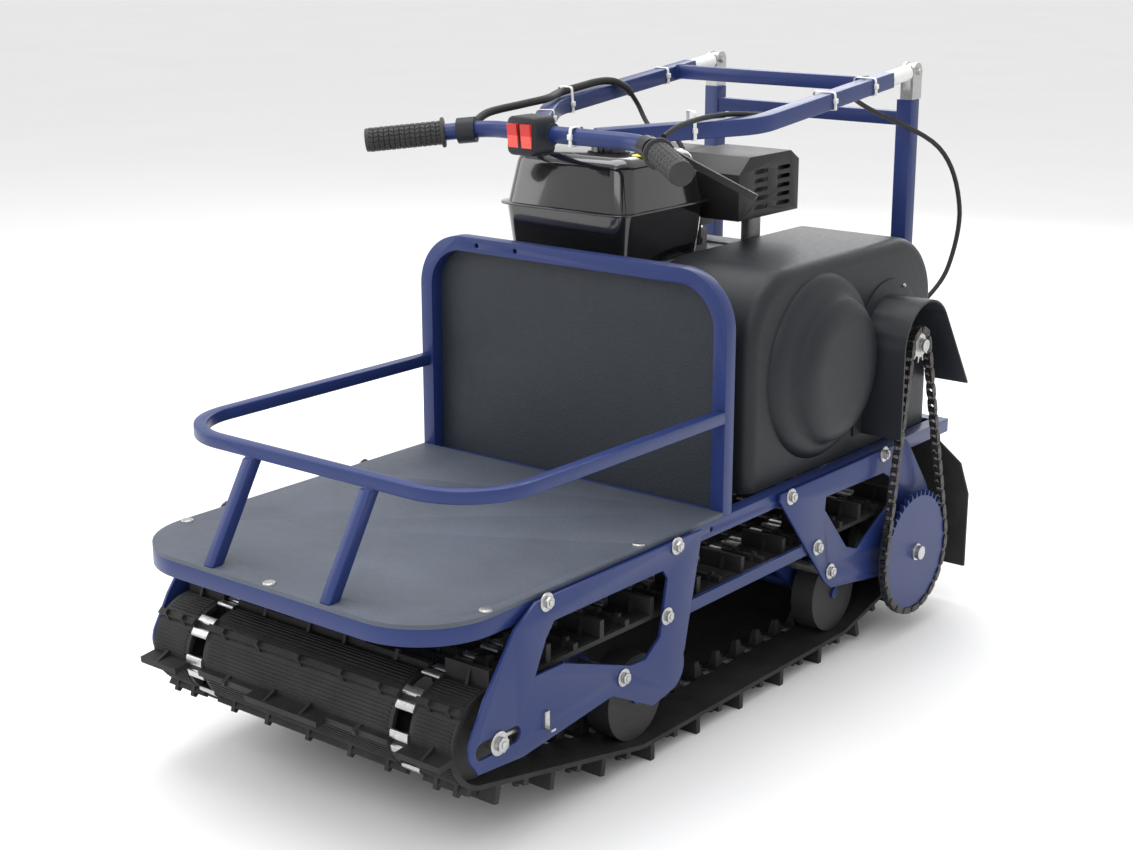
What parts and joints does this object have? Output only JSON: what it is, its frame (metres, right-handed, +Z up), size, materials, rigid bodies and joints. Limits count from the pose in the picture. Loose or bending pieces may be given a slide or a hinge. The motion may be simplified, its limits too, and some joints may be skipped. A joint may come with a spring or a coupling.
{
  "type": "tracked power carrier",
  "caption": "Motor driven rubber track carrier with a flat cargo deck, guard rail, backrest, covered belt drive and a handlebar that folds forward over the engine",
  "frame": {"origin": "On the ground under the middle of the track, at the foot of one track lug, on the machine's mid plane", "axes": "+Z up, +Y to the rear where the uprights and hitch are, -Y to the front of the cargo deck, +X to the chain side"},
  "size_m": [0.5965, 1.2129, 0.813],
  "materials": {
    "blue_paint": "deep blue satin powder coat",
    "track_rubber": "matte black moulded rubber",
    "grip_rubber": "black rubber with a raised pattern",
    "deck_panel": "dark slate textured board",
    "cover_plastic": "satin black moulded plastic",
    "zinc_steel": "bright zinc plated steel",
    "dark_steel": "dark oiled steel",
    "engine_black": "gloss black enamel",
    "cast_metal": "grey cast alloy",
    "black_metal": "satin black paint",
    "red_plastic": "bright red plastic",
    "cable_black": "black cable sheath"
  },
  "bodies": {
    "chassis": {"chassis_frame": "blue_paint", "cross_tubes": "blue_paint", "drive_stands": "blue_paint", "front_side_plates": "blue_paint", "rear_side_plates": "blue_paint", "cargo_deck": "deck_panel", "guard_rail": "blue_paint", "backrest_hoop": "blue_paint", "backrest_board": "deck_panel", "track_belt": "track_rubber", "track_axles": "zinc_steel", "track_tensioners": "zinc_steel", "flange_bearings": "zinc_steel", "brake_caliper": "black_metal", "drive_chain": "dark_steel", "variator_belt": "track_rubber", "engine_block": "cast_metal", "cylinder_head": "cast_metal", "fan_housing": "black_metal", "recoil_cover": "cover_plastic", "fuel_tank": "engine_black", "air_cleaner": "cover_plastic", "carburettor": "cast_metal", "muffler": "dark_steel", "muffler_guard": "black_metal", "hood": "cover_plastic", "chain_guard": "cover_plastic", "mudflap": "track_rubber", "frame_fasteners": "zinc_steel", "upright_frame": "blue_paint", "fold_lugs": "zinc_steel", "cable_drops": "cable_black"},
    "handlebar_set": {"handlebar_frame": "blue_paint", "arm_sleeves": "zinc_steel", "handlebar": "blue_paint", "left_grip": "grip_rubber", "throttle_housing": "cover_plastic", "lever_perch": "black_metal", "switch_box": "cover_plastic", "handlebar_cables": "cable_black"},
    "track_drive": {"drive_axle": "zinc_steel", "track_drive_wheels": "dark_steel", "driven_sprocket": "blue_paint"},
    "jackshaft_set": {"jackshaft": "zinc_steel", "driven_pulley": "dark_steel", "brake_disc": "zinc_steel"},
    "crank_set": {"crankshaft": "zinc_steel", "drive_pulley": "dark_steel"},
    "idler": {"idler_wheels": "track_rubber"},
    "front_arm": {"front_roller_arm": "blue_paint"},
    "rear_arm": {"rear_roller_arm": "blue_paint"},
    "front_roller_wheels": {"front_rollers": "track_rubber"},
    "rear_roller_wheels": {"rear_rollers": "track_rubber"},
    "twist_grip": {"throttle_grip": "grip_rubber"},
    "brake": {"brake_lever": "black_metal"},
    "light_switch": {"light_rocker": "red_plastic"},
    "engine_switch": {"engine_rocker": "red_plastic"},
    "cap": {"fuel_cap": "cover_plastic"},
    "choke": {"choke_lever": "grip_rubber"},
    "starter": {"starter_grip": "grip_rubber"}
  },
  "joints": [
    {"name": "handlebar_fold", "type": "hinge", "parent": "chassis", "child": "handlebar_set", "pos_m": [0, 0.53, 0.8], "axis": [-1, 0, 0], "range_deg": [0, 180]},
    {"name": "track_drive_spin", "type": "hinge", "parent": "chassis", "child": "track_drive", "pos_m": [0, 0.395, 0.122], "axis": [1, 0, 0], "continuous": true},
    {"name": "jackshaft_spin", "type": "hinge", "parent": "chassis", "child": "jackshaft_set", "pos_m": [0, 0.378, 0.43509], "axis": [1, 0, 0], "continuous": true},
    {"name": "crank_spin", "type": "hinge", "parent": "chassis", "child": "crank_set", "pos_m": [0, 0.195, 0.43109], "axis": [1, 0, 0], "continuous": true},
    {"name": "idler_spin", "type": "hinge", "parent": "chassis", "child": "idler", "pos_m": [0, -0.51278, 0.142], "axis": [1, 0, 0], "continuous": true},
    {"name": "front_arm_swing", "type": "hinge", "parent": "chassis", "child": "front_arm", "pos_m": [0, -0.284, 0.144], "axis": [1, 0, 0], "range_deg": [0, 12], "stiffness_Nm_per_rad": 120},
    {"name": "rear_arm_swing", "type": "hinge", "parent": "chassis", "child": "rear_arm", "pos_m": [0, 0.191, 0.144], "axis": [1, 0, 0], "range_deg": [0, 12], "stiffness_Nm_per_rad": 120},
    {"name": "front_rollers_spin", "type": "hinge", "parent": "front_arm", "child": "front_roller_wheels", "pos_m": [0, -0.213, 0.0844], "axis": [1, 0, 0], "continuous": true},
    {"name": "rear_rollers_spin", "type": "hinge", "parent": "rear_arm", "child": "rear_roller_wheels", "pos_m": [0, 0.26, 0.0844], "axis": [1, 0, 0], "continuous": true},
    {"name": "throttle_twist", "type": "hinge", "parent": "handlebar_set", "child": "twist_grip", "pos_m": [-0.165, -0.093, 0.745], "axis": [-0.7752, -0.6235, -0.1011], "range_deg": [0, 70], "stiffness_Nm_per_rad": 0.2},
    {"name": "brake_squeeze", "type": "hinge", "parent": "handlebar_set", "child": "brake", "pos_m": [0.158, -0.063, 0.745], "axis": [-0.329, -0.262, -0.9073], "range_deg": [0, 25], "stiffness_Nm_per_rad": 2},
    {"name": "light_switch_rock", "type": "hinge", "parent": "handlebar_set", "child": "light_switch", "pos_m": [-0.049, -0.103, 0.75], "axis": [1, 0, 0], "range_deg": [-16, 0]},
    {"name": "engine_switch_rock", "type": "hinge", "parent": "handlebar_set", "child": "engine_switch", "pos_m": [-0.027, -0.103, 0.75], "axis": [1, 0, 0], "range_deg": [-16, 0]},
    {"name": "fuel_cap_turn", "type": "hinge", "parent": "chassis", "child": "cap", "pos_m": [-0.05, 0.095, 0.71809], "axis": [0, 0, 1], "range_deg": [0, 90]},
    {"name": "choke_swing", "type": "hinge", "parent": "chassis", "child": "choke", "pos_m": [-0.019, 0.269, 0.56509], "axis": [-1, 0, 0], "range_deg": [0, 60]},
    {"name": "starter_pull", "type": "slide", "parent": "chassis", "child": "starter", "axis": [0, 0, 1], "range_m": [0, 0.5], "stiffness_N_per_m": 40}
  ],
  "couplings": [
    {"joint": "jackshaft_spin", "follows": "track_drive_spin", "ratio": 4},
    {"joint": "idler_spin", "follows": "track_drive_spin", "ratio": 1.1491},
    {"joint": "front_rollers_spin", "follows": "track_drive_spin", "ratio": 1.0717},
    {"joint": "rear_rollers_spin", "follows": "track_drive_spin", "ratio": 1.0717}
  ]
}
